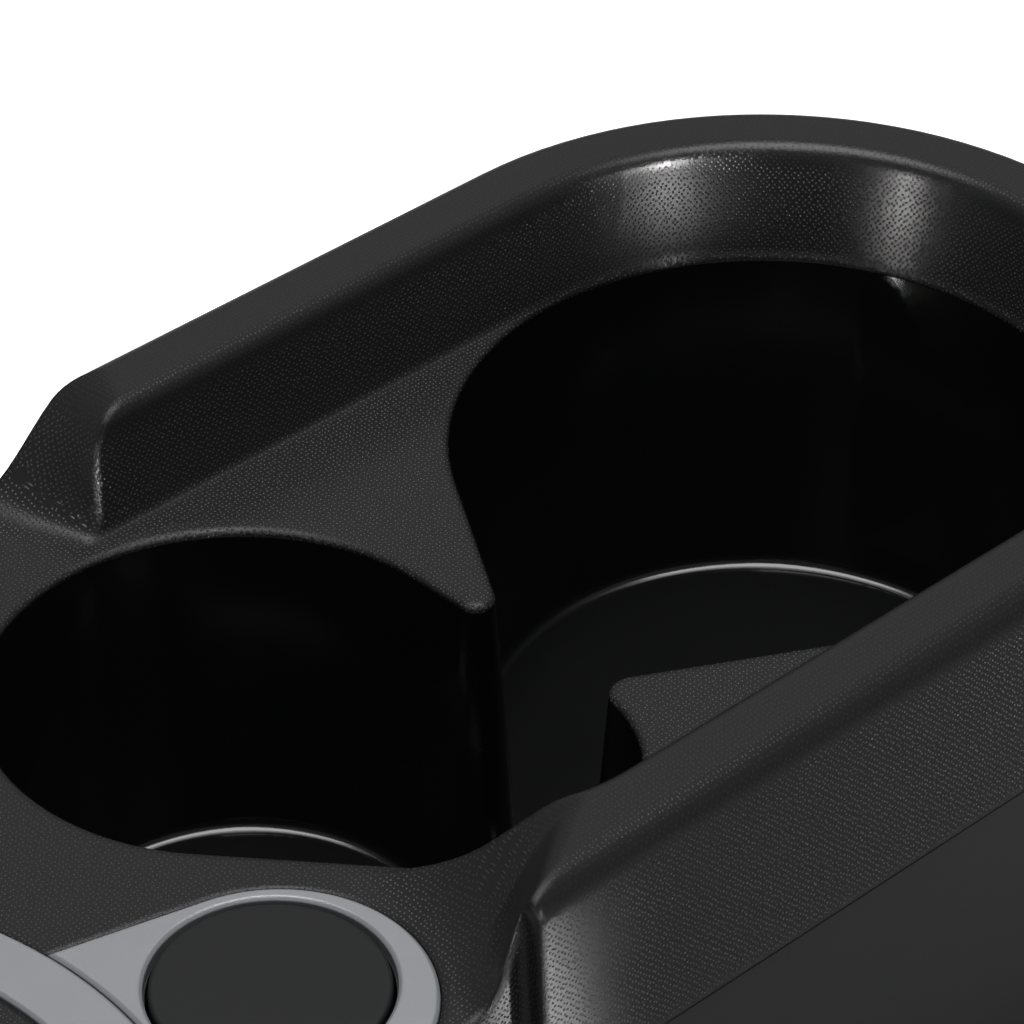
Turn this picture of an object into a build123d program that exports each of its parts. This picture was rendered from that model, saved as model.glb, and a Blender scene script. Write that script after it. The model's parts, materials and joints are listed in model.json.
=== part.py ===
"""Car cup holder: a centre-console module with two joined wells and a push button.

Millimetres. +X runs to the rear of the car, +Y to the far side, +Z up.
The origin is the middle of the base, on the surface that the module is bolted to.
"""
import os
from math import asin, atan2, cos, degrees, hypot, radians, sin, sqrt, tan

from build123d import *

# Overall body
body_length = 254.0
top_half_width = 70.3
side_draft = 3.0
deck_z = 71.0
rim_height = 18.2
skirt_drop = 17.5
front_corner = 18.0
deck_wall = 3.0
skirt_wall = 2.5
outer_round = 4.5

# Wells: round rear well, teardrop front well, and the neck between them
rear_radius = 52.0
front_radius = 37.8
well_spacing = 103.5
front_offset = 11.0
lobe_radius = 24.3
lobe_back = 15.2
lobe_side = 37.4
front_depth = 57.0
rear_depth = 62.0
well_draft = 4.0
floor_round = 2.0
far_web_reach = 10.5
far_web_round = 3.0
near_web_angle = -9.0
near_web_round = 4.0
lip_edge = 1.1
lip_chamfer = 0.5

# Raised horseshoe rim: its inner foot, its lean and the ramps at its two front ends
rim_ledge = 0.6
rim_lean = 15.5
rim_flare = ((0.9, 32.0), (0.5, 56.0), (0.25, 74.0))
hollow_back = 26.0

# Ramps, each row in one upright plane: its side position, and the foot and top from the front well
far_ramp = ((50.0, 6.4, 14.9), (76.0, -11.6, 28.5))
near_ramp = ((-30.0, -16.1, 27.1), (-58.0, -22.8, 9.9), (-76.0, -26.5, -22.7))

# Step in the two sides, where the rim ends
step_ahead = 13.3
front_step = 3.5

# Tub insert
tub_wall = 2.0
tub_gap = 0.4
seat_gap = 0.1
flange_width = 7.0
flange_thick = 2.0
flange_drop = 5.0
flange_clear = 1.0
front_screw_angles = (104.0, 186.0)
lobe_screw_angle = -80.0
rear_screw_angle = 75.0
front_pad_radius = 22.0
rear_pad_radius = 34.0

# Lower housing
housing_inset = 0.6
housing_wall = 3.0
housing_floor = 3.0
seam_gap = 1.0
lip_height = 4.0
lip_overlap = 8.0
lip_wall = 1.8
lip_gap = 0.35
bolt_spacing_x = 182.0
bolt_spacing_y = 108.0
bolt_shift = -11.8
bolt_hole_radius = 3.4
bush_wall = 2.1
bush_gap = 0.05
bolt_boss_radius = 9.0
bolt_boss_height = 6.0
harness_slot = (30.0, 14.0)
harness_slot_z = 12.0

# Screwed joints
post_radius = 5.5
post_joint_z = 40.0
post_web = 6.0
post_clear = 0.5
front_post_inset = 14.0
front_post_side = 34.0
far_post = (45.0, 44.0)
near_post = (53.0, -51.0)
rear_post_angle = 48.0
screw_radius = 1.8
screw_head_radius = 3.6
screw_head_height = 2.6
screw_clear = 0.3
screw_bite = 9.0
screw_end_gap = 1.0
thread_gap = 0.05
boss_radius = 3.6
boss_clear = 0.3
small_screw_radius = 1.2
small_head_radius = 2.5
small_head_height = 1.8
small_bite = 6.0

# Push button, its bezel and the bow in front
button_radius = 17.0
button_margin = 28.9
button_clear = 28.8
button_gap = 0.7
button_travel = 2.0
button_top = 0.5
button_thick = 2.5
button_edge = 0.6
button_wall = 1.6
button_skirt = 9.0
stem_radius = 3.0
bezel_border = 5.2
bezel_back = 1.5
bezel_side = 2.5
bezel_margin = 3.0
bezel_thick = 2.0
bezel_proud = 0.8
bezel_edge = 0.5
bezel_root = 15.0
bow_radius = 70.0
bow_ahead = 18.2
bow_width = 9.9
bow_shift = -28.0
bow_margin = 7.0
joint_gap = 0.3
pocket_gap = 0.25

# Switch under the button
switch_wall = 1.8
bore_gap = 0.5
switch_depth = 20.0
switch_floor = 2.0
collar_gap = 0.2
ear_angles = (136.0, 205.0, 336.0)
ear_reach = 24.0
ear_radius = 4.2
tab_angles = (60.0, 180.0, 300.0)
tab_width = 4.0
tab_height = 2.0
tab_reach = 1.3
tab_gap = 0.3
board_radius = 15.0
board_thick = 1.6
dome_radius = 7.0
dome_top_radius = 4.0
dome_height = 6.0
dome_wall = 1.0
dome_gap = 0.2
connector_size = (14.0, 8.0, 7.0)
connector_wall = 1.0

# Levels and places worked out from the sizes above
top_z = deck_z + rim_height
seam_z = deck_z - skirt_drop
seam_half = top_half_width + (rim_height + skirt_drop) * tan(radians(side_draft))
rear_x = body_length / 2 - seam_half
front_x = rear_x - well_spacing
front_end = -body_length / 2
under_z = deck_z - deck_wall
front_floor_z = deck_z - front_depth
rear_floor_z = deck_z - rear_depth
tub_top_z = deck_z - lip_edge - seat_gap
flange_z = under_z - flange_drop
button_y = button_margin - seam_half
button_x = front_x - sqrt((front_radius + button_clear) ** 2 - (button_y - front_offset) ** 2)
eye_radius = button_radius + button_gap
bezel_radius = eye_radius + bezel_border
pocket_z = deck_z + bezel_proud - bezel_thick
switch_bore = button_radius + bore_gap
switch_radius = switch_bore + switch_wall
bow_centre = Vector(button_x - bow_ahead - bow_radius, bow_shift)

front_centre = Vector(front_x, front_offset)
rear_centre = Vector(rear_x, 0)
lobe_centre = Vector(front_x + lobe_back, front_offset - lobe_side)


def at_angle(centre, radius, angle):
    """Point on a circle in plan."""
    return centre + Vector(radius * cos(radians(angle)), radius * sin(radians(angle)))


def tangent_point(point, centre, radius, side):
    """Where a line from the point touches the circle, on its left (+1) or right (-1)."""
    across = centre - point
    distance = hypot(across.X, across.Y)
    reach = sqrt(distance**2 - radius**2)
    turn = degrees(asin(radius / distance))
    angle = degrees(atan2(across.Y, across.X)) + side * turn
    return at_angle(point, reach, angle)


def disc(centre, radius):
    """Flat disc in plan."""
    return Pos(centre.X, centre.Y) * Circle(radius)


def post(centre, radius, low, high):
    """Upright round post between two levels."""
    return extrude(Pos(centre.X, centre.Y, low) * Circle(radius), high - low)


def teardrop_side(side):
    """Direction, in degrees, square to one straight side of the front well's teardrop."""
    slant = lobe_centre - front_centre
    narrowing = degrees(asin((front_radius - lobe_radius) / slant.length))
    return degrees(atan2(slant.Y, slant.X)) + side * (90 - narrowing)


def arc_between(centre, radius, first, last):
    """Arc in plan that turns anticlockwise from one point of a circle to another."""
    start = degrees(atan2(first.Y - centre.Y, first.X - centre.X))
    end = degrees(atan2(last.Y - centre.Y, last.X - centre.X))
    return CenterArc(centre, radius, start, (end - start) % 360)


def crossing_tangent(nose, nose_radius, side):
    """Line from a web's nose over to the rear well's circle, with its nose and well on opposite sides."""
    across = rear_centre - nose
    turn = degrees(asin((nose_radius + rear_radius) / hypot(across.X, across.Y)))
    heading = degrees(atan2(across.Y, across.X)) + side * turn
    square = heading + side * 90
    return at_angle(nose, nose_radius, square + 180), at_angle(rear_centre, rear_radius, square)


def opening_sketch(grow=0.0):
    """Plan of the wells: front teardrop, rear circle, and the neck between its two rounded webs."""
    square = teardrop_side(1)
    front_last = teardrop_side(-1)
    front_start = at_angle(front_centre, front_radius, square)
    front_end_point = at_angle(front_centre, front_radius, front_last)
    lobe_start = at_angle(lobe_centre, lobe_radius, front_last)
    far_tip = at_angle(front_start, far_web_reach, square - 90)
    far_nose = at_angle(far_tip, far_web_round, square)
    near_tip = at_angle(lobe_centre, lobe_radius, near_web_angle)
    near_nose = at_angle(near_tip, near_web_round, near_web_angle)
    far_leave, far_touch = crossing_tangent(far_nose, far_web_round, 1)
    near_leave, near_touch = crossing_tangent(near_nose, near_web_round, -1)
    plan = make_face(
        [
            Line(far_tip, front_start),
            arc_between(front_centre, front_radius, front_start, front_end_point),
            Line(front_end_point, lobe_start),
            arc_between(lobe_centre, lobe_radius, lobe_start, near_tip),
            arc_between(near_nose, near_web_round, near_leave, near_tip),
            Line(near_leave, near_touch),
            arc_between(rear_centre, rear_radius, near_touch, far_touch),
            Line(far_touch, far_leave),
            arc_between(far_nose, far_web_round, far_tip, far_leave),
        ]
    )
    return offset(plan, grow) if grow else plan


def walk(place, heading, steps):
    """Edges of an outline: each step is a straight run, an arc of a radius and a turn, or a sharp turn."""
    edges = []
    for size, turn in steps:
        if size and turn:
            side = 90 if turn > 0 else -90
            centre = at_angle(place, size, heading + side)
            edges.append(CenterArc(centre, size, heading - side, turn))
            heading = heading + turn
            place = at_angle(centre, size, heading - side)
        elif turn:
            heading = heading + turn
        else:
            end = at_angle(place, size, heading)
            edges.append(Line(place, end))
            place = end
    return edges


def body_sketch(inset=0.0, step=front_step):
    """Plan of the body at the seam: round rear, sides that step in ahead of the rim, round front corners."""
    half = seam_half - inset
    step_x = front_x - step_ahead + inset
    corner_x = front_end + front_corner
    stepped = [(rear_x - step_x, 0), (0, 90), (step, 0), (0, -90), (step_x - corner_x, 0)]
    side = (stepped if step else [(rear_x - corner_x, 0)]) + [(front_corner - inset, 90)]
    front = [(2 * (seam_half - step - front_corner), 0)]
    return make_face(walk(Vector(rear_x, half), 180, side + front + side[::-1] + [(half, 180)]))


def rim_plan(grow):
    """Plan of the space inside the raised rim: open to the front, drawn in to the lobe on the near side."""
    half = rear_radius + rim_ledge + grow
    lobe_reach = half + lobe_centre.Y
    front_reach = front_radius + lobe_reach - lobe_radius
    square = teardrop_side(-1)
    lobe_touch = at_angle(lobe_centre, lobe_reach, square)
    front_touch = at_angle(front_centre, front_reach, square)
    inner_y = near_ramp[0][0]
    share = (inner_y - front_touch.Y) / (lobe_touch.Y - front_touch.Y)
    entry = front_touch + (lobe_touch - front_touch) * share
    lobe_low = lobe_centre - Vector(0, lobe_reach)
    ahead = front_end - body_length
    return make_face(
        [
            arc_between(rear_centre, half, Vector(rear_x, -half), Vector(rear_x, half)),
            Line((rear_x, half), (ahead, half)),
            Line((ahead, half), (ahead, inner_y)),
            Line((ahead, inner_y), entry),
            Line(entry, lobe_touch),
            arc_between(lobe_centre, lobe_reach, lobe_touch, lobe_low),
            Line(lobe_low, (rear_x, -half)),
        ]
    )


def rim_space(grow=0.0):
    """Space inside the raised rim, leaning outwards as it rises, with a flared upper edge."""
    lower = rim_height - sum(rise for rise, lean in rim_flare)
    space = extrude(Pos(0, 0, deck_z) * rim_plan(grow), lower, taper=-rim_lean)
    grow = grow + lower * tan(radians(rim_lean))
    level = deck_z + lower
    for rise, lean in rim_flare:
        space = space + extrude(Pos(0, 0, level) * rim_plan(grow), rise, taper=-lean)
        grow = grow + rise * tan(radians(lean))
        level = level + rise
    return space


def ramp_profile(y, foot, top):
    """What a ramp cuts away in one upright plane, above an S-shaped slope."""
    plane = Plane(origin=(front_x, y, 0), x_dir=(1, 0, 0), z_dir=(0, -1, 0))
    slope = Spline((foot, deck_z), (top, top_z), tangents=((1, 0), (1, 0)))
    ahead = front_end - front_x - body_length
    above = top_z + rim_height
    rest = Polyline((top, top_z), (top, above), (ahead, above), (ahead, deck_z), (foot, deck_z))
    return plane * make_face(slope + rest)


def ramp_cut(rows):
    """Ruled cut that brings one end of the rim down to the front deck."""
    return loft([ramp_profile(*row) for row in rows], ruled=True)


def bow_sketch(grow=0.0):
    """Plan of the curved bow across the front deck, cut off at the deck's margin."""
    ring = disc(bow_centre, bow_radius + grow) - disc(bow_centre, bow_radius - bow_width - grow)
    return ring & body_sketch(bow_margin - grow)


def bezel_sketch(grow=0.0):
    """Plan of the button bezel: a round eye on a tongue that widens to the bow."""
    eye_centre = Vector(button_x - bezel_back, button_y - bezel_side)
    root_x = bow_centre.X + bow_radius - bow_width
    far_root = Vector(root_x, -bezel_root)
    near_root = Vector(root_x, eye_centre.Y - bezel_radius - grow)
    near_touch = eye_centre - Vector(0, bezel_radius + grow)
    far_touch = tangent_point(far_root, eye_centre, bezel_radius + grow, 1)
    tongue = make_face(Polyline(far_root, near_root, near_touch, eye_centre, far_touch, close=True))
    tongue = tongue + disc(eye_centre, bezel_radius + grow)
    return (tongue - disc(bow_centre, bow_radius + joint_gap - grow)) & body_sketch(bezel_margin - grow)


def post_places():
    """Where the housing is screwed to the top trim."""
    rear_reach = seam_half - skirt_wall - lip_gap - lip_wall - post_clear - post_radius
    return [
        Vector(front_end + front_post_inset, front_post_side),
        Vector(front_end + front_post_inset, -front_post_side),
        Vector(front_x + far_post[0], far_post[1]),
        Vector(front_x + near_post[0], near_post[1]),
        at_angle(rear_centre, rear_reach, rear_post_angle),
        at_angle(rear_centre, rear_reach, -rear_post_angle),
    ]


def tub_screw_places():
    """Where the tub's flange is screwed up to the deck."""
    reach = tub_gap + tub_wall + boss_clear + boss_radius
    front = [at_angle(front_centre, front_radius + reach, angle) for angle in front_screw_angles]
    rear = [at_angle(rear_centre, rear_radius + reach, side * rear_screw_angle) for side in (1, -1)]
    return front + [at_angle(lobe_centre, lobe_radius + reach, lobe_screw_angle)] + rear


def switch_screw_places():
    """Where the switch's ears are screwed up to the deck."""
    return [at_angle(Vector(button_x, button_y), ear_reach, angle) for angle in ear_angles]


def ahead_of(x):
    """Everything ahead of an upright plane across the body."""
    block = Box(body_length, 4 * seam_half, 4 * top_z, align=(Align.MAX, Align.CENTER, Align.CENTER))
    return Pos(x, 0, 0) * block


def trim_block():
    """Outside of the top moulding, still solid: deck, raised rim and its two ramps."""
    block = extrude(Pos(0, 0, seam_z) * body_sketch(step=0), top_z - seam_z, taper=side_draft)
    block = fillet(block.faces().sort_by(Axis.Z)[-1].edges(), outer_round)
    narrow = extrude(Pos(0, 0, seam_z) * body_sketch(), top_z - seam_z, taper=side_draft)
    block = block - (ahead_of(front_x - step_ahead) - narrow)
    return block - rim_space() - ramp_cut(far_ramp) - ramp_cut(near_ramp)


def rim_hollow():
    """Space inside the raised rim's own section, behind the ramps."""
    height = top_z - skirt_wall - seam_z
    hollow = extrude(Pos(0, 0, seam_z) * body_sketch(skirt_wall), height, taper=side_draft)
    leg = skirt_wall / cos(radians(rim_lean))
    hollow = hollow - rim_space(leg) - extrude(Pos(0, 0, seam_z) * rim_plan(leg), deck_z - seam_z)
    return hollow - ahead_of(front_x + hollow_back)


def top_trim():
    """Grained top moulding: deck, raised horseshoe rim with two ramps, and skirt."""
    block = trim_block()
    under = extrude(Pos(0, 0, seam_z) * body_sketch(skirt_wall), under_z - seam_z, taper=side_draft)
    trim = block - under - rim_hollow()
    filled = block + under
    for place in post_places():
        trim = trim + (post(place, post_radius, post_joint_z, top_z) & filled)
        trim = trim + post(place, post_radius, post_joint_z, under_z)
        trim = trim - post(place, screw_radius + thread_gap, post_joint_z, post_joint_z + screw_bite)
    for place in tub_screw_places() + switch_screw_places():
        trim = trim + (post(place, boss_radius, flange_z, top_z) & filled)
        trim = trim - post(place, small_screw_radius + thread_gap, flange_z, flange_z + small_bite)
    trim = trim - extrude(Pos(0, 0, seam_z) * opening_sketch(), top_z - seam_z)
    seat = opening_sketch(tub_wall + tub_gap)
    trim = trim - extrude(Pos(0, 0, seam_z) * seat, deck_z - lip_edge - seam_z)
    trim = trim - extrude(Pos(0, 0, deck_z - lip_chamfer) * opening_sketch(), lip_chamfer, taper=-45)
    for plan in (bezel_sketch(pocket_gap), bow_sketch(pocket_gap)):
        trim = trim - extrude(Pos(0, 0, pocket_z) * plan, bezel_thick)
    return trim - post(Vector(button_x, button_y), switch_radius + collar_gap, under_z, deck_z)


def well_form(grow, thick):
    """Solid that fills both wells, grown to the sides and thickened below; the rear one is deeper."""
    level = Pos(0, 0, tub_top_z)
    down = (0, 0, -1)
    both_depth = tub_top_z - front_floor_z + thick
    rear_only = tub_top_z - rear_floor_z + thick
    both = extrude(level * opening_sketch(grow), both_depth, dir=down, taper=well_draft)
    rear = extrude(level * disc(rear_centre, rear_radius + grow), rear_only, dir=down, taper=well_draft)
    both = fillet(both.faces().sort_by(Axis.Z)[0].edges(), floor_round)
    return both + fillet(rear.faces().sort_by(Axis.Z)[0].edges(), floor_round)


def cup_tub():
    """Glossy insert: both wells and their neck in one drafted tub with a flange."""
    flange_plan = opening_sketch(tub_wall + flange_width)
    flange = extrude(Pos(0, 0, flange_z - flange_thick) * flange_plan, flange_thick)
    flange = flange - post(Vector(button_x, button_y), switch_radius + flange_clear, 0, top_z)
    for place in post_places():
        flange = flange - post(place, post_radius + flange_clear, 0, top_z)
    for place in switch_screw_places():
        flange = flange - post(place, ear_radius + flange_clear, 0, top_z)
    for place in tub_screw_places():
        flange = flange - post(place, small_screw_radius + screw_clear, 0, top_z)
    return well_form(tub_wall, tub_wall) + flange - well_form(0.0, 0.0)


def lower_housing():
    """Smooth lower body: walls below the seam, floor, screw posts and bolt bosses."""
    shell = extrude(body_sketch(housing_inset), seam_z - seam_gap)
    shell = shell - extrude(Pos(0, 0, housing_floor) * body_sketch(housing_inset + housing_wall), seam_z)
    lip_outer = skirt_wall + lip_gap
    lip = body_sketch(lip_outer) - body_sketch(lip_outer + lip_wall)
    lip = extrude(Pos(0, 0, seam_z - lip_overlap) * lip, lip_overlap + lip_height)
    shell = shell + lip
    for place in post_places():
        shell = shell + post(place, post_radius, 0, post_joint_z)
        shell = shell - post(place, screw_head_radius + screw_clear, 0, post_joint_z - post_web)
        shell = shell - post(place, screw_radius + screw_clear, 0, post_joint_z)
    for place in bolt_places():
        shell = shell + post(place, bolt_boss_radius, 0, bolt_boss_height)
        shell = shell - post(place, bolt_hole_radius + bush_wall + bush_gap, 0, bolt_boss_height)
    slot = Box(4 * housing_wall, *harness_slot, align=(Align.CENTER, Align.CENTER, Align.MIN))
    return shell - Pos(front_end, 0, harness_slot_z) * slot


def foam_pads():
    """Soft pads that carry the two wells on the housing's floor."""
    front = post(front_centre, front_pad_radius, housing_floor, front_floor_z - tub_wall)
    rear = post(rear_centre, rear_pad_radius, housing_floor, rear_floor_z - tub_wall)
    return [front, rear]


def mount_bushes():
    """Steel bushes that take the load of the mounting bolts."""
    outer = bolt_hole_radius + bush_wall
    return [
        post(place, outer, 0, bolt_boss_height) - post(place, bolt_hole_radius, 0, bolt_boss_height)
        for place in bolt_places()
    ]


def plate(plan):
    """Grey trim plate in its pocket, with a fine chamfer round its upper edges."""
    part = extrude(Pos(0, 0, pocket_z) * plan, bezel_thick)
    return chamfer(part.faces().sort_by(Axis.Z)[-1].edges(), bezel_edge)


def button_bezel():
    """Grey tongue with the round eye for the button."""
    return plate(bezel_sketch() - disc(Vector(button_x, button_y), eye_radius))


def front_bow():
    """Grey bow across the front deck."""
    return plate(bow_sketch())


def at_button(part):
    """Move a piece made round the Z axis, with the deck at height zero, to the button."""
    return Pos(button_x, button_y, deck_z) * part


def ring(outer, inner, low, high):
    """Round wall between two levels."""
    return extrude(Pos(0, 0, low) * (Circle(outer) - Circle(inner)), high - low)


def tabs(width, reach, low, high):
    """Blocks that stand out round the button's skirt, or cut windows for them."""
    block = Box(reach, width, high - low, align=(Align.MIN, Align.CENTER, Align.MIN))
    return [Rot(0, 0, angle) * Pos(0, 0, low) * block for angle in tab_angles]


tab_low = -button_skirt
tab_high = tab_low + tab_height
board_top = -switch_depth + board_thick
stem_low = -switch_depth + board_thick + dome_height + dome_gap


def button_cap():
    """Round push button: flat cap, guide skirt, three stop tabs and a stem."""
    cap = extrude(Pos(0, 0, button_top - button_thick) * Circle(button_radius), button_thick)
    cap = fillet(cap.faces().sort_by(Axis.Z)[-1].edges(), button_edge)
    cap = cap + ring(button_radius, button_radius - button_wall, tab_low, button_top - button_thick)
    inside = extrude(Pos(0, 0, tab_low) * Circle(button_radius - button_wall), tab_height)
    for tab in tabs(tab_width, button_radius + tab_reach, tab_low, tab_high):
        cap = cap + (tab - inside)
    return at_button(cap + extrude(Pos(0, 0, stem_low) * Circle(stem_radius), -stem_low))


def switch_housing():
    """Cup under the deck that guides the button and holds the board, with three screw ears."""
    base = -switch_depth - switch_floor
    body = extrude(Pos(0, 0, base) * Circle(switch_radius), pocket_z - deck_z - base)
    ears = Circle(switch_radius)
    for angle in ear_angles:
        arm = Rot(0, 0, angle) * Pos(ear_reach / 2, 0) * Rectangle(ear_reach, 2 * ear_radius)
        ears = ears + arm + Rot(0, 0, angle) * Pos(ear_reach, 0) * Circle(ear_radius)
    for angle in ear_angles:
        ears = ears - Rot(0, 0, angle) * Pos(ear_reach, 0) * Circle(small_screw_radius + screw_clear)
    body = body + extrude(Pos(0, 0, flange_z - flange_thick - deck_z) * ears, flange_thick)
    body = body - extrude(Pos(0, 0, -switch_depth) * Circle(switch_bore), switch_depth)
    window_low = tab_low - button_travel - tab_gap
    window_reach = button_radius + tab_reach + tab_gap
    for window in tabs(tab_width + 2 * tab_gap, window_reach, window_low, tab_high + tab_gap):
        body = body - window
    slot = Box(connector_size[0] + screw_clear, connector_size[1] + screw_clear, 4 * switch_floor)
    return at_button(body - Pos(0, 0, -switch_depth) * slot)


def switch_board():
    """Round circuit board on the floor of the switch housing."""
    return at_button(extrude(Pos(0, 0, -switch_depth) * Circle(board_radius), board_thick))


def switch_dome():
    """Rubber dome that returns the button."""
    low = board_top
    high = board_top + dome_height
    outline = Polyline(
        (dome_radius, low),
        (dome_radius, low + dome_wall),
        (dome_top_radius, high - dome_wall),
        (dome_top_radius, high),
        (0, high),
        (0, high - dome_wall),
        (dome_top_radius - dome_wall, high - dome_wall),
        (dome_radius - 2 * dome_wall, low),
        close=True,
    )
    return at_button(revolve(Plane.XZ * make_face(outline), Axis.Z))


def switch_connector():
    """Open socket under the board for the car's own wiring."""
    width, depth, height = connector_size
    hanging = (Align.CENTER, Align.CENTER, Align.MAX)
    socket = Box(width, depth, height, align=hanging)
    hollow = Box(width - 2 * connector_wall, depth - 2 * connector_wall, height, align=hanging)
    return at_button(Pos(0, 0, -switch_depth) * (socket - Pos(0, 0, -connector_wall) * hollow))


def screw(place, head_z, radius, head_radius, head_height, length):
    """Pan-head screw that points up, with its head's bearing face at the given level."""
    head = Pos(place.X, place.Y, head_z - head_height) * extrude(Circle(head_radius), head_height)
    head = fillet(head.faces().sort_by(Axis.Z)[0].edges(), head_height / 3)
    return head + post(place, radius, head_z, head_z + length)


def housing_screws():
    """Screws that hold the housing to the top trim, deep in its posts."""
    seat = post_joint_z - post_web
    length = post_web + screw_bite - screw_end_gap
    sizes = (screw_radius, screw_head_radius, screw_head_height, length)
    return [screw(place, seat, *sizes) for place in post_places()]


def small_screws(places):
    """Screws that hold a flange up to the deck's bosses."""
    seat = flange_z - flange_thick
    length = flange_thick + small_bite - screw_end_gap
    sizes = (small_screw_radius, small_head_radius, small_head_height, length)
    return [screw(place, seat, *sizes) for place in places]


def bolt_places():
    """Centres of the four mounting bolts."""
    corners = [(x, y) for x in (-1, 1) for y in (-1, 1)]
    return [Vector(bolt_shift + x * bolt_spacing_x / 2, y * bolt_spacing_y / 2) for x, y in corners]


pieces = {
    "top_trim": [top_trim()],
    "cup_tub": [cup_tub()],
    "lower_housing": [lower_housing()],
    "foam_pads": foam_pads(),
    "mount_bushes": mount_bushes(),
    "button_bezel": [button_bezel()],
    "front_bow": [front_bow()],
    "button_cap": [button_cap()],
    "switch_housing": [switch_housing()],
    "switch_board": [switch_board()],
    "switch_dome": [switch_dome()],
    "switch_connector": [switch_connector()],
    "housing_screws": housing_screws(),
    "tub_screws": small_screws(tub_screw_places()),
    "switch_screws": small_screws(switch_screw_places()),
}

os.makedirs("parts", exist_ok=True)
for name, solids in pieces.items():
    flat = [solid for piece in solids for solid in piece.solids()]
    export_step(Compound(children=flat) if len(flat) > 1 else flat[0], f"parts/{name}.step")
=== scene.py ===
"""Looks of the car cup holder: finishes, studio light and the camera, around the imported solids."""
import json
from math import radians, sqrt

import bpy
from mathutils import Matrix, Vector


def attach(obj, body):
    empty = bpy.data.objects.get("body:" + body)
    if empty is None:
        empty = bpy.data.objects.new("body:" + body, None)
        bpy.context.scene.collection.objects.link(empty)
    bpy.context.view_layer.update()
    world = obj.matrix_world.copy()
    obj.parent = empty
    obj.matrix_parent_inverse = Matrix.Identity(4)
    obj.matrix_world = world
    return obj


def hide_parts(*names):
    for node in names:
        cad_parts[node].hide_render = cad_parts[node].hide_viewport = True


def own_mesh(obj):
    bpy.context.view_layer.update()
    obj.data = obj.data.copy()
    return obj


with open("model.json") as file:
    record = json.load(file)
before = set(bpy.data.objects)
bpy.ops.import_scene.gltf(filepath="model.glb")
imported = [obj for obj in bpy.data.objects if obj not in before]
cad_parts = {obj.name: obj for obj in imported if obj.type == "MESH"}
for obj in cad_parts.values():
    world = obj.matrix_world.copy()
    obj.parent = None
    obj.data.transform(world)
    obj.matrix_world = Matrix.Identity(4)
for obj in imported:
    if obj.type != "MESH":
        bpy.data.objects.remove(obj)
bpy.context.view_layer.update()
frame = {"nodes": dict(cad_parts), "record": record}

nodes = frame["nodes"]

# Camera, fitted to the photograph's circles and levels
camera_place = Vector((-0.39742, -0.42905, 0.5276))
camera_forward = Vector((0.54012, 0.58618, -0.60388))
camera_lens = 170.4
camera_sensor = 36.0
camera_near = 0.01

# Soft light: a lamp above, a weak lamp behind and an even surround
full_spread = 180.0
top_place = Vector((0.0, 0.0, 1.3))
top_size = (0.9, 0.9)
top_power = 14.0
back_place = Vector((1.1, 1.18, 1.25))
back_size = (1.2, 1.2)
back_power = 0.9
surround_strength = 0.13

# Low strips on both sides of the camera, for the two highlights on the rear wall
strip_centre = Vector((0.0, 0.0, 0.08))
strip_distance = 1.1
strip_target = Vector((0.1, 0.01, 0.08))
strip_spread = 10.0
strips = {
    "strip_right": {"azimuth": -96.0, "elevation": 7.5, "size": (0.1, 0.14), "power": 0.08},
    "strip_left": {"azimuth": -173.0, "elevation": 0.0, "size": (0.1, 0.08), "power": 0.0115},
}

# Small card close to the near front corner, for its highlight
card_place = Vector((-0.0265, -0.116, 0.025))
card_forward = Vector((-0.0265, 0.044, 0.046))
card_size = (0.005, 0.03)
card_spread = 24.0
card_power = 0.0003

# Long lamp lower than the deck, for the grain of the near wall
skirt_place = Vector((-0.115, -1.09, 0.035))
skirt_forward = Vector((0.135, 1.02, 0.025))
skirt_size = (0.5, 0.06)
skirt_power = 7.0

# Narrow lamp for the highlight down the corner of the far ramp
corner_place = Vector((-0.377, -0.447, 0.14))
corner_forward = Vector((0.302, 0.502, -0.06))
corner_size = (0.06, 0.06)
corner_spread = 6.0
corner_power = 0.016

# Floor: grey to the light, white to the camera, and a small share of that white in reflections
floor_size = 20.0
floor_tone = 0.25
floor_roughness = 0.9
floor_pale = 0.85
floor_glow = 0.65
mirror_share = 0.08

# Grain of the top moulding, laid along its walls: their bend starts at the rear well's centre
bend_x = 0.0548
bend_radius = 0.062
grain_pitch = 0.0008
grain_depth = 0.0001
grain_scatter = 0.4
tip_reach = (0.04, 0.3)
diagonal = sqrt(2.0)
steep_limit = 0.7

# Fading of that grain and of its painted glints, up to the top of the rim and ahead on the front deck
rim_fade = (0.083, 0.0865)
rim_grain = 0.25
front_fade = (-0.07, -0.03)
front_grain = 0.35

# Tone and gloss of the top moulding; its grain tips get a lighter colour, a painted glint that stands in
# for their highlights
trim_dark = (0.019, 0.019, 0.0195)
trim_painted_glint = (0.07, 0.07, 0.072)
trim_tone_size = 0.03
trim_tone_span = (0.8, 1.0)
trim_roughness = (0.23, 0.27)
trim_roughness_size = 0.012
trim_specular = 0.35
trim_edge = 0.002

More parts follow.
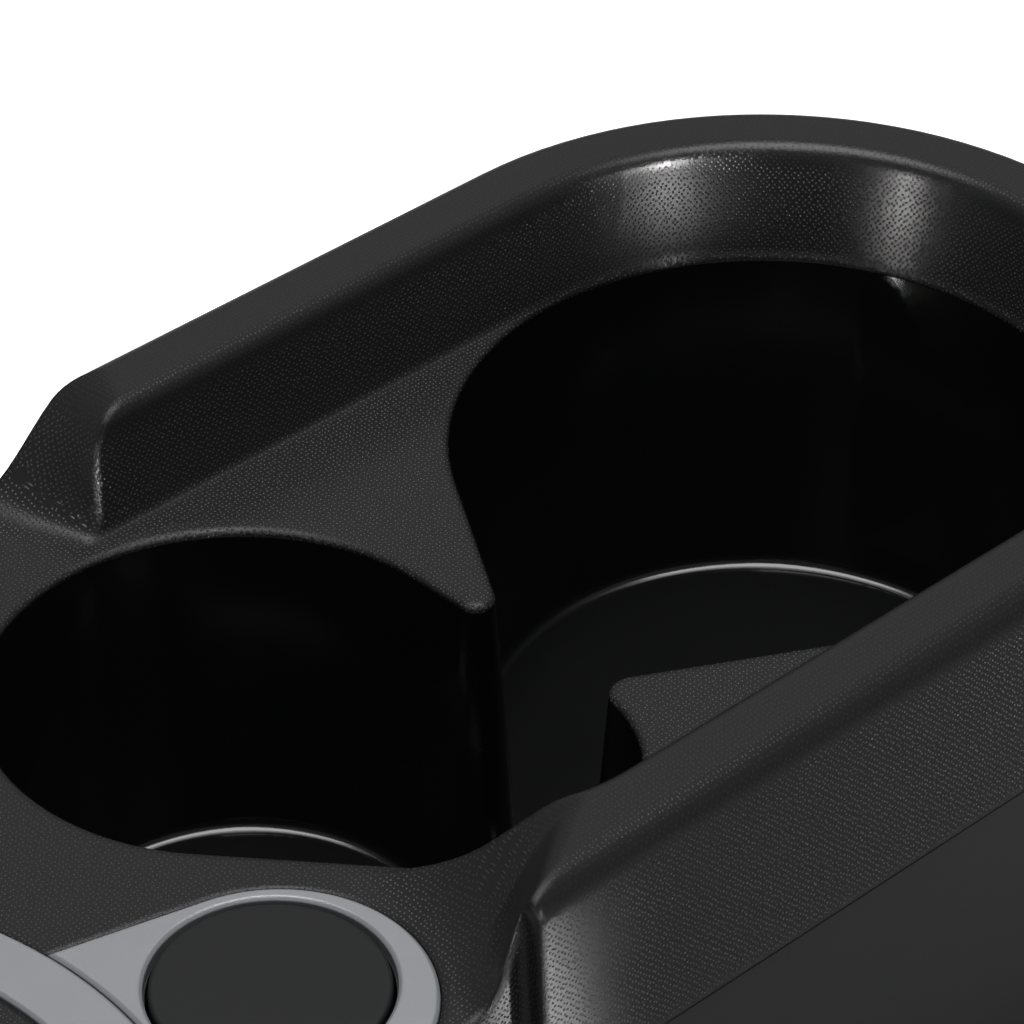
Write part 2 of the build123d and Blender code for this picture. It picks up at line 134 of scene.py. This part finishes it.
# Finishes of the inner pieces: dark tone, light tone, roughness and how metallic they are
inner_tone_size = 0.008
inner_roughness_size = 0.003
inner_unevenness = 0.05
inner_relief_size = 0.0006
inner_relief_depth = 0.00001
inner_finishes = {
    "switch_plastic": ((0.03, 0.03, 0.03), (0.04, 0.04, 0.04), 0.5, 0.0),
    "board": ((0.02, 0.09, 0.035), (0.03, 0.12, 0.05), 0.35, 0.0),
    "dome_rubber": ((0.3, 0.3, 0.29), (0.36, 0.36, 0.35), 0.6, 0.0),
    "connector_plastic": ((0.5, 0.48, 0.43), (0.6, 0.58, 0.52), 0.5, 0.0),
    "screw_steel": ((0.42, 0.42, 0.41), (0.52, 0.52, 0.5), 0.35, 1.0),
    "foam": ((0.02, 0.02, 0.02), (0.035, 0.035, 0.035), 0.9, 0.0),
    "bush_steel": ((0.46, 0.46, 0.46), (0.55, 0.55, 0.55), 0.3, 1.0),
}

noise_detail = 2.0
edge_samples = 6


def grey(tone):
    """Opaque grey of one tone."""
    return (tone, tone, tone, 1.0)


class Shader:
    """A node material whose Principled shader is set up in few lines."""

    def __init__(self, name):
        self.material = bpy.data.materials.new(name)
        self.material.use_nodes = True
        self.tree = self.material.node_tree
        self.shader = self.tree.nodes["Principled BSDF"]

    def add(self, kind, inputs=None, **settings):
        """New node with its settings and input values."""
        node = self.tree.nodes.new(kind)
        for key, value in settings.items():
            setattr(node, key, value)
        for key, value in (inputs or {}).items():
            node.inputs[key].default_value = value
        return node

    def link(self, source, target):
        """Join an output socket to an input socket."""
        self.tree.links.new(source, target)

    def finish(self, **values):
        """Plain values on the shader's own sockets."""
        for key, value in values.items():
            self.shader.inputs[key.replace("_", " ")].default_value = value
        return self.material

    def place(self):
        """The piece's own coordinates, in metres."""
        return self.add("ShaderNodeTexCoord").outputs["Object"]

    def noise(self, size, detail=noise_detail):
        """Noise with features of about the given size in metres."""
        node = self.add("ShaderNodeTexNoise", {"Scale": 1.0 / size, "Detail": detail})
        self.link(self.place(), node.inputs["Vector"])
        return node.outputs["Fac"]

    def maths(self, operation, *values):
        """Result of one sum on sockets or plain numbers."""
        node = self.add("ShaderNodeMath", operation=operation)
        for slot, value in enumerate(values):
            if isinstance(value, (int, float)):
                node.inputs[slot].default_value = value
            else:
                self.link(value, node.inputs[slot])
        return node.outputs["Value"]

    def parts(self, vector):
        """The three parts of a vector."""
        node = self.add("ShaderNodeSeparateXYZ")
        self.link(vector, node.inputs["Vector"])
        return node.outputs

    def choose(self, share, first, second):
        """First value where the share is 0, second where it is 1."""
        node = self.add("ShaderNodeMix", data_type="FLOAT")
        for key, value in (("Factor", share), ("A", first), ("B", second)):
            self.link(value, node.inputs[key])
        return node.outputs["Result"]

    def span(self, value, low, high, from_low=0.0, from_high=1.0):
        """A value mapped smoothly onto another span."""
        node = self.add(
            "ShaderNodeMapRange",
            {"From Min": from_low, "From Max": from_high, "To Min": low, "To Max": high},
            interpolation_type="SMOOTHSTEP",
        )
        self.link(value, node.inputs["Value"])
        return node.outputs["Result"]

    def tint(self, value, dark, light):
        """Colour between two tones."""
        node = self.add("ShaderNodeMix", data_type="RGBA")
        node.inputs["A"].default_value = (*dark, 1.0)
        node.inputs["B"].default_value = (*light, 1.0)
        self.link(value, node.inputs["Factor"])
        self.link(node.outputs["Result"], self.shader.inputs["Base Color"])

    def uneven_gloss(self, size, low, high):
        """Roughness that wanders between two values over the given size in metres."""
        self.link(self.span(self.noise(size), low, high), self.shader.inputs["Roughness"])

    def soft_edges(self, radius):
        """Normals rounded over the moulded edges."""
        return self.add("ShaderNodeBevel", {"Radius": radius}, samples=edge_samples).outputs["Normal"]

    def relief(self, height, depth, edge=None):
        """Relief of the given depth in metres, over edges softened by a radius where one is given."""
        node = self.add("ShaderNodeBump", {"Distance": depth})
        self.link(height, node.inputs["Height"])
        if edge is not None:
            self.link(self.soft_edges(edge), node.inputs["Normal"])
        self.link(node.outputs["Normal"], self.shader.inputs["Normal"])


def grain_plan(kit):
    """Flat coordinates of the grain: along the walls and up them, or across the deck."""
    spot = kit.parts(kit.place())
    facing = kit.parts(kit.add("ShaderNodeNewGeometry").outputs["True Normal"])
    back = kit.maths("SUBTRACT", spot["X"], bend_x)
    turn = kit.maths("ARCTAN2", spot["Y"], kit.maths("MAXIMUM", back, 0.0))
    side = kit.maths("SIGN", spot["Y"])
    straight = kit.maths("MULTIPLY", side, kit.maths("MINIMUM", back, 0.0))
    along = kit.maths("SUBTRACT", kit.maths("MULTIPLY", turn, bend_radius), straight)
    forward = kit.maths("LESS_THAN", facing["X"], -steep_limit)
    ahead = kit.maths("MULTIPLY", forward, kit.maths("LESS_THAN", back, 0.0))
    along = kit.choose(ahead, along, spot["Y"])
    level = kit.maths("GREATER_THAN", kit.maths("ABSOLUTE", facing["Z"]), steep_limit)
    plan = kit.add("ShaderNodeCombineXYZ")
    for axis, slant in (("X", "ADD"), ("Y", "SUBTRACT")):
        steep = kit.maths(slant, along, spot["Z"])
        flat = kit.maths("MULTIPLY", spot[axis], diagonal)
        kit.link(kit.choose(level, steep, flat), plan.inputs[axis])
    return plan.outputs["Vector"]


def grained_plastic():
    """Black plastic with a fine regular grain of small raised tips in staggered rows, the tips painted
    lighter as painted glints.
    """
    kit = Shader("grained_plastic")
    rows = {"Scale": 1.0 / (grain_pitch * diagonal), "Randomness": grain_scatter}
    cells = kit.add("ShaderNodeTexVoronoi", rows, feature="F1", voronoi_dimensions="2D")
    kit.link(grain_plan(kit), cells.inputs["Vector"])
    spot = kit.parts(kit.place())
    tips = kit.span(cells.outputs["Distance"], 1.0, 0.0, *tip_reach)
    tips = kit.maths("MULTIPLY", tips, kit.span(spot["Z"], 1.0, rim_grain, *rim_fade))
    tips = kit.maths("MULTIPLY", tips, kit.span(spot["X"], front_grain, 1.0, *front_fade))
    kit.relief(tips, grain_depth, trim_edge)
    # Painted glints: the raised tips are coloured lighter, standing in for their highlights, and fade
    # with the grain
    tone = kit.maths("MULTIPLY", tips, kit.span(kit.noise(trim_tone_size), *trim_tone_span))
    kit.tint(tone, trim_dark, trim_painted_glint)
    kit.uneven_gloss(trim_roughness_size, *trim_roughness)
    return kit.finish(Specular_IOR_Level=trim_specular)


def fine_finish(name, tones, tone_size, roughness, roughness_size, relief_size, relief_depth,
                edge=None, tone_detail=noise_detail, **values):
    """Finish with two close tones, uneven gloss and a fine relief."""
    kit = Shader(name)
    kit.tint(kit.noise(tone_size, tone_detail), *tones)
    kit.uneven_gloss(roughness_size, *roughness)
    kit.relief(kit.noise(relief_size), relief_depth, edge)
    return kit.finish(**values)


def gloss_black():
    """Smooth, glossy black plastic of the wells."""
    return fine_finish(
        "gloss_black",
        tones=((0.005, 0.0052, 0.0052), (0.006, 0.0062, 0.0062)),
        tone_size=0.05,
        roughness=(0.15, 0.19),
        roughness_size=0.02,
        relief_size=0.02,
        relief_depth=0.00002,
        Specular_IOR_Level=0.8,
    )


def satin_plastic():
    """Smooth satin plastic with a very fine spark-eroded texture."""
    return fine_finish(
        "satin_plastic",
        tones=((0.024, 0.0245, 0.0248), (0.027, 0.0275, 0.0278)),
        tone_size=0.04,
        roughness=(0.42, 0.5),
        roughness_size=0.01,
        relief_size=0.0003,
        relief_depth=0.00002,
        edge=0.0004,
        Specular_IOR_Level=0.35,
    )


def silver_trim():
    """Silver-grey paint with very fine flakes and a satin sheen."""
    return fine_finish(
        "silver_trim",
        tones=((0.315, 0.324, 0.342), (0.375, 0.386, 0.408)),
        tone_size=0.00012,
        tone_detail=1.0,
        roughness=(0.36, 0.42),
        roughness_size=0.006,
        relief_size=0.0002,
        relief_depth=0.000006,
        edge=0.0005,
        Metallic=0.35,
        Specular_IOR_Level=0.5,
    )


def button_plastic():
    """Very fine matt black plastic of the button."""
    return fine_finish(
        "button_plastic",
        tones=((0.0095, 0.01, 0.0108), (0.0105, 0.011, 0.0118)),
        tone_size=0.01,
        roughness=(0.5, 0.58),
        roughness_size=0.004,
        relief_size=0.00025,
        relief_depth=0.000015,
        edge=0.0005,
        Specular_IOR_Level=0.3,
    )


def inner_finish(name, dark, light, roughness, metallic):
    """Plain finish of an inner piece."""
    return fine_finish(
        name,
        tones=(dark, light),
        tone_size=inner_tone_size,
        roughness=(roughness - inner_unevenness, roughness + inner_unevenness),
        roughness_size=inner_roughness_size,
        relief_size=inner_relief_size,
        relief_depth=inner_relief_depth,
        Metallic=metallic,
    )


def dress():
    """Give every solid its finish."""
    finishes = {
        "grained_plastic": grained_plastic(),
        "gloss_black": gloss_black(),
        "satin_plastic": satin_plastic(),
        "silver_trim": silver_trim(),
        "button_plastic": button_plastic(),
    }
    for name, values in inner_finishes.items():
        finishes[name] = inner_finish(name, *values)
    for row in frame["record"]["subparts"]:
        piece = nodes[row["node"]]
        piece.data.materials.clear()
        piece.data.materials.append(finishes[row["material_slot"]])


def dome():
    """Copy of the rubber dome under the button, on a mesh of its own, shown in place of the imported
    one.
    """
    piece = bpy.data.objects.new("rubber_dome", nodes["switch_dome"].data.copy())
    bpy.context.scene.collection.objects.link(piece)
    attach(piece, "module")
    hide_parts("switch_dome")
    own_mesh(piece)


def aim(thing, place, forward):
    """Put a lamp or the camera at a place, looking along a direction."""
    thing.location = place
    thing.rotation_mode = "QUATERNION"
    thing.rotation_quaternion = forward.to_track_quat("-Z", "Y")
    bpy.context.scene.collection.objects.link(thing)


def area_lamp(name, size, power, place, forward, spread=full_spread, shine_only=False):
    """Rectangular lamp that the camera itself doesn't see, and that may give highlights alone."""
    lamp = bpy.data.lights.new(name, "AREA")
    lamp.shape = "RECTANGLE"
    lamp.size, lamp.size_y = size
    lamp.energy = power
    lamp.spread = radians(spread)
    piece = bpy.data.objects.new(name, lamp)
    piece.visible_camera = False
    piece.visible_diffuse = not shine_only
    aim(piece, place, forward)


def strip_lamps():
    """The two strips, set round their centre by azimuth and elevation in degrees."""
    for name, strip in strips.items():
        turn = Matrix.Rotation(radians(strip["azimuth"]), 3, "Z")
        tilt = Matrix.Rotation(-radians(strip["elevation"]), 3, "Y")
        reach = turn @ tilt @ Vector((strip_distance, 0, 0))
        place = strip_centre + reach
        forward = strip_target - strip_centre - reach
        area_lamp(name, strip["size"], strip["power"], place, forward, strip_spread, shine_only=True)


def studio():
    """Lamps, even surround and the pale floor."""
    strip_lamps()
    area_lamp("top", top_size, top_power, top_place, -top_place)
    area_lamp("back", back_size, back_power, back_place, -back_place)
    area_lamp("card", card_size, card_power, card_place, card_forward, card_spread, shine_only=True)
    area_lamp("skirt", skirt_size, skirt_power, skirt_place, skirt_forward, shine_only=True)
    area_lamp(
        "corner", corner_size, corner_power, corner_place, corner_forward, corner_spread, shine_only=True
    )
    world = bpy.data.worlds.new("surround")
    bpy.context.scene.world = world
    world.use_nodes = True
    background = world.node_tree.nodes["Background"]
    background.inputs["Color"].default_value = grey(1.0)
    background.inputs["Strength"].default_value = surround_strength
    floor()


def floor():
    """Pale floor that shows white to the camera."""
    mesh = bpy.data.meshes.new("floor")
    half = floor_size / 2
    corners = [(-half, -half, 0), (half, -half, 0), (half, half, 0), (-half, half, 0)]
    mesh.from_pydata(corners, [], [(0, 1, 2, 3)])
    piece = bpy.data.objects.new("floor", mesh)
    bpy.context.scene.collection.objects.link(piece)
    kit = Shader("floor")
    pale = kit.add("ShaderNodeBsdfDiffuse", {"Color": grey(floor_pale)})
    white = kit.add("ShaderNodeEmission", {"Strength": floor_glow})
    shown = kit.add("ShaderNodeAddShader")
    kit.link(pale.outputs["BSDF"], shown.inputs[0])
    kit.link(white.outputs["Emission"], shown.inputs[1])
    rays = kit.add("ShaderNodeLightPath").outputs
    mirrored = kit.maths("MAXIMUM", rays["Is Glossy Ray"], rays["Is Transmission Ray"])
    share = kit.maths("MAXIMUM", rays["Is Camera Ray"], kit.maths("MULTIPLY", mirrored, mirror_share))
    mix = kit.add("ShaderNodeMixShader")
    kit.link(share, mix.inputs["Fac"])
    kit.link(kit.shader.outputs["BSDF"], mix.inputs[1])
    kit.link(shown.outputs["Shader"], mix.inputs[2])
    kit.link(mix.outputs["Shader"], kit.tree.nodes["Material Output"].inputs["Surface"])
    kit.finish(Base_Color=grey(floor_tone), Roughness=floor_roughness)
    mesh.materials.append(kit.material)


def camera():
    """Camera at the photograph's viewpoint."""
    lens = bpy.data.cameras.new("camera")
    lens.lens = camera_lens
    lens.sensor_width = camera_sensor
    lens.clip_start = camera_near
    eye = bpy.data.objects.new("camera", lens)
    aim(eye, camera_place, camera_forward)
    bpy.context.scene.camera = eye


dress()
dome()
studio()
camera()
bpy.context.scene.view_settings.view_transform = "Standard"
